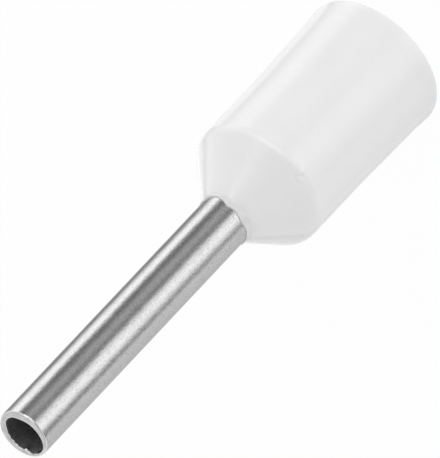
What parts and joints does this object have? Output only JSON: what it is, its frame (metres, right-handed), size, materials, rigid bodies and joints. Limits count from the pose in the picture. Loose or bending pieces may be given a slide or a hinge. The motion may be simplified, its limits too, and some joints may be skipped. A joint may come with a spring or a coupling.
{
  "type": "wire ferrule",
  "caption": "Insulated wire ferrule: a thin tin-plated tube, belled at the rear, in a white moulded collar with a conical nose and a flared mouth.",
  "frame": {"origin": "centre of the rim of the collar's mouth, on which the ferrule stands", "axes": "+Z along the ferrule's axis, from the collar's mouth to the tip of the sleeve"},
  "size_m": [0.0036, 0.0036, 0.0142],
  "materials": {
    "tin_plated_copper": "bright tin plating, finely drawn along the tube",
    "white_polypropylene": "natural white moulded plastic, slightly translucent, satin"
  },
  "bodies": {
    "root": {"contact_sleeve": "tin_plated_copper", "insulating_collar": "white_polypropylene"}
  },
  "joints": []
}
